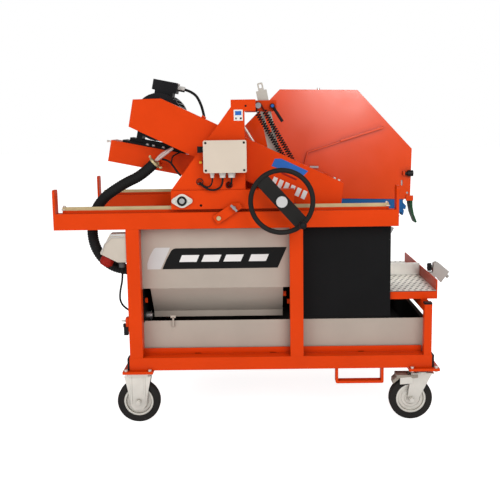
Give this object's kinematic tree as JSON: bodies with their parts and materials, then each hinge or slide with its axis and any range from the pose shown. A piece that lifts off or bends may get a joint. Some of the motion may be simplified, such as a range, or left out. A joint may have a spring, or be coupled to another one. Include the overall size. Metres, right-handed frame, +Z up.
{
  "type": "masonry block saw",
  "caption": "Wheeled block saw: a tilting belt-driven blade head under a guard rolls by handwheel along two rails over a water tank and slotted table",
  "frame": {"origin": "middle of the footprint box on the floor", "axes": "+X along the rails towards the table end, +Y from the handwheel side to the far side, +Z up"},
  "size_m": [1.8624, 1.299, 1.5936],
  "materials": {
    "upper_rail_near": "gloss powder coat, orange",
    "upper_rail_far": "gloss powder coat, orange",
    "posts": "gloss powder coat, orange",
    "lower_rails": "gloss powder coat, orange",
    "cross_tubes": "gloss powder coat, orange",
    "forklift_loop": "gloss powder coat, orange",
    "table_frame": "gloss powder coat, orange",
    "caster_plates": "gloss powder coat, orange",
    "carriage_beams": "gloss powder coat, orange",
    "carriage_frame": "gloss powder coat, orange",
    "head_arm": "gloss powder coat, orange",
    "belt_cover": "gloss powder coat, orange",
    "blade_guard": "gloss powder coat, orange",
    "lock_link": "gloss powder coat, orange",
    "basin": "powder coat, grey-beige",
    "hopper": "powder coat, grey-beige",
    "track_bars": "zinc plated",
    "table_top": "zinc plated",
    "table_fence": "zinc plated",
    "fixed_forks": "zinc plated",
    "swivel_fork_near": "zinc plated",
    "swivel_fork_far": "zinc plated",
    "rim_left_near": "zinc plated",
    "rim_left_far": "zinc plated",
    "rim_right_near": "zinc plated",
    "rim_right_far": "zinc plated",
    "axle_bearings": "zinc plated",
    "depth_link": "zinc plated",
    "hose_clamp": "zinc plated",
    "long_axle": "turned steel",
    "wheel_axle": "turned steel",
    "far_roller": "turned steel",
    "blade_spindle": "turned steel",
    "blade": "ground steel core, bonded segments",
    "lift_springs": "black spring steel",
    "tyre_left_near": "solid rubber",
    "tyre_left_far": "solid rubber",
    "tyre_right_near": "solid rubber",
    "tyre_right_far": "solid rubber",
    "curtain": "black rubber",
    "cable_sleeve": "black rubber",
    "mains_lead": "black rubber",
    "motor_cable": "black rubber",
    "box_cables": "black rubber",
    "drive_belt": "black rubber",
    "guard_skirt": "blue sheet rubber, with a dark green flap",
    "tube_caps": "moulded end plugs",
    "angle_stop": "grey bracket with a black star knob",
    "inlet_housing": "moulded grey housing",
    "inlet_collar": "moulded red collar",
    "motor": "black paint",
    "motor_pulley": "machined grooves",
    "control_box": "beige-grey box",
    "box_lid": "beige-grey lid",
    "switch_knob": "black moulding",
    "wheel_knob": "black moulding",
    "brake_pedal_near": "black moulding",
    "brake_pedal_far": "black moulding",
    "clamp_lever": "black moulding",
    "handwheel": "black coated"
  },
  "bodies": {
    "stand": {"upper_rail_near": "upper_rail_near", "upper_rail_far": "upper_rail_far", "track_bars": "track_bars", "posts": "posts", "lower_rails": "lower_rails", "tube_caps": "tube_caps", "cross_tubes": "cross_tubes", "forklift_loop": "forklift_loop", "basin": "basin", "hopper": "hopper", "curtain": "curtain", "table_top": "table_top", "table_frame": "table_frame", "table_fence": "table_fence", "inlet_housing": "inlet_housing", "inlet_collar": "inlet_collar", "mains_lead": "mains_lead", "caster_plates": "caster_plates", "fixed_forks": "fixed_forks", "cable_sleeve": "cable_sleeve"},
    "wheel_left_near": {"tyre_left_near": "tyre_left_near", "rim_left_near": "rim_left_near"},
    "wheel_left_far": {"tyre_left_far": "tyre_left_far", "rim_left_far": "rim_left_far"},
    "swivel_near": {"swivel_fork_near": "swivel_fork_near"},
    "swivel_far": {"swivel_fork_far": "swivel_fork_far"},
    "wheel_right_near": {"tyre_right_near": "tyre_right_near", "rim_right_near": "rim_right_near"},
    "wheel_right_far": {"tyre_right_far": "tyre_right_far", "rim_right_far": "rim_right_far"},
    "brake_near": {"brake_pedal_near": "brake_pedal_near"},
    "brake_far": {"brake_pedal_far": "brake_pedal_far"},
    "angle_stop_body": {"angle_stop": "angle_stop"},
    "lock": {"lock_link": "lock_link"},
    "carriage": {"carriage_beams": "carriage_beams", "carriage_frame": "carriage_frame", "axle_bearings": "axle_bearings", "control_box": "control_box", "box_lid": "box_lid", "box_cables": "box_cables", "lift_springs": "lift_springs"},
    "rear_axle": {"long_axle": "long_axle"},
    "drive_axle": {"wheel_axle": "wheel_axle", "handwheel": "handwheel"},
    "crank_knob": {"wheel_knob": "wheel_knob"},
    "far_axle": {"far_roller": "far_roller"},
    "switch": {"switch_knob": "switch_knob"},
    "lever": {"clamp_lever": "clamp_lever"},
    "head": {"head_arm": "head_arm", "hose_clamp": "hose_clamp", "belt_cover": "belt_cover", "drive_belt": "drive_belt", "blade_guard": "blade_guard", "guard_skirt": "guard_skirt", "motor": "motor", "motor_cable": "motor_cable"},
    "motor_rotor": {"motor_pulley": "motor_pulley"},
    "blade_rotor": {"blade_spindle": "blade_spindle", "blade": "blade"},
    "link": {"depth_link": "depth_link"}
  },
  "joints": [
    {"name": "carriage_slide", "type": "slide", "parent": "stand", "child": "carriage", "axis": [1, 0, 0], "range_m": [-0.38, 0.38], "deforming": ["cable_sleeve"]},
    {"name": "rear_axle_turn", "type": "hinge", "parent": "carriage", "child": "rear_axle", "pos_m": [-0.34825, -0.4425, 1.04], "axis": [0, 1, 0], "range_deg": [-910, 910]},
    {"name": "handwheel_turn", "type": "hinge", "parent": "carriage", "child": "drive_axle", "pos_m": [0.09575, -0.4725, 1.04], "axis": [0, 1, 0], "range_deg": [-910, 910]},
    {"name": "far_axle_turn", "type": "hinge", "parent": "carriage", "child": "far_axle", "pos_m": [0.09575, 0.5875, 1.04], "axis": [0, 1, 0], "range_deg": [-910, 910]},
    {"name": "crank_knob_spin", "type": "hinge", "parent": "drive_axle", "child": "crank_knob", "pos_m": [0.18408, -0.6025, 0.9419], "axis": [0, 1, 0], "continuous": true},
    {"name": "head_lift", "type": "hinge", "parent": "carriage", "child": "head", "pos_m": [-0.17525, -0.1925, 1.13], "axis": [0, -1, 0], "range_deg": [0, 18], "deforming": ["lift_springs"]},
    {"name": "blade_spin", "type": "hinge", "parent": "head", "child": "blade_rotor", "pos_m": [0.29375, 0.0775, 1.045], "axis": [0, 1, 0], "continuous": true},
    {"name": "motor_spin", "type": "hinge", "parent": "head", "child": "motor_rotor", "pos_m": [-0.46441, -0.3555, 1.41501], "axis": [0, 1, 0], "continuous": true},
    {"name": "depth_link_swing", "type": "hinge", "parent": "head", "child": "link", "pos_m": [0.10075, -0.2815, 1.09], "axis": [0, -1, 0], "range_deg": [-18, 4]},
    {"name": "clamp_lever_turn", "type": "hinge", "parent": "carriage", "child": "lever", "pos_m": [0.06375, -0.3065, 1.458], "axis": [0, -1, 0], "range_deg": [0, 70]},
    {"name": "switch_turn", "type": "hinge", "parent": "carriage", "child": "switch", "pos_m": [-0.25525, -0.4885, 1.268], "axis": [-1, 0, 0], "range_deg": [0, 90]},
    {"name": "lock_swing", "type": "hinge", "parent": "stand", "child": "lock", "pos_m": [-0.18425, -0.4865, 0.962], "axis": [0, -1, 0], "range_deg": [0, 108]},
    {"name": "stop_slide", "type": "slide", "parent": "stand", "child": "angle_stop_body", "axis": [0, 1, 0], "range_m": [-0.18, 0.3]},
    {"name": "left_near_wheel_roll", "type": "hinge", "parent": "stand", "child": "wheel_left_near", "pos_m": [-0.57875, -0.4255, 0.1], "axis": [0, 1, 0], "continuous": true},
    {"name": "near_caster_swivel", "type": "hinge", "parent": "stand", "child": "swivel_near", "pos_m": [0.74575, -0.4255, 0.23], "axis": [0, 0, 1], "continuous": true},
    {"name": "right_near_wheel_roll", "type": "hinge", "parent": "swivel_near", "child": "wheel_right_near", "pos_m": [0.69325, -0.4255, 0.1], "axis": [0, 1, 0], "continuous": true},
    {"name": "near_brake_press", "type": "hinge", "parent": "swivel_near", "child": "brake_near", "pos_m": [0.69325, -0.4255, 0.211], "axis": [0, -1, 0], "range_deg": [0, 6]},
    {"name": "left_far_wheel_roll", "type": "hinge", "parent": "stand", "child": "wheel_left_far", "pos_m": [-0.57875, 0.5805, 0.1], "axis": [0, 1, 0], "continuous": true},
    {"name": "far_caster_swivel", "type": "hinge", "parent": "stand", "child": "swivel_far", "pos_m": [0.74575, 0.5805, 0.23], "axis": [0, 0, 1], "continuous": true},
    {"name": "right_far_wheel_roll", "type": "hinge", "parent": "swivel_far", "child": "wheel_right_far", "pos_m": [0.69325, 0.5805, 0.1], "axis": [0, 1, 0], "continuous": true},
    {"name": "far_brake_press", "type": "hinge", "parent": "swivel_far", "child": "brake_far", "pos_m": [0.69325, 0.5805, 0.211], "axis": [0, -1, 0], "range_deg": [0, 6]}
  ],
  "couplings": [
    {"joint": "rear_axle_turn", "follows": "carriage_slide", "rad_per_m": 41.667},
    {"joint": "handwheel_turn", "follows": "carriage_slide", "rad_per_m": 41.667},
    {"joint": "far_axle_turn", "follows": "carriage_slide", "rad_per_m": 41.667},
    {"joint": "motor_spin", "follows": "blade_spin", "ratio": 1.2593},
    {"joint": "depth_link_swing", "follows": "head_lift", "ratio": -0.812}
  ]
}
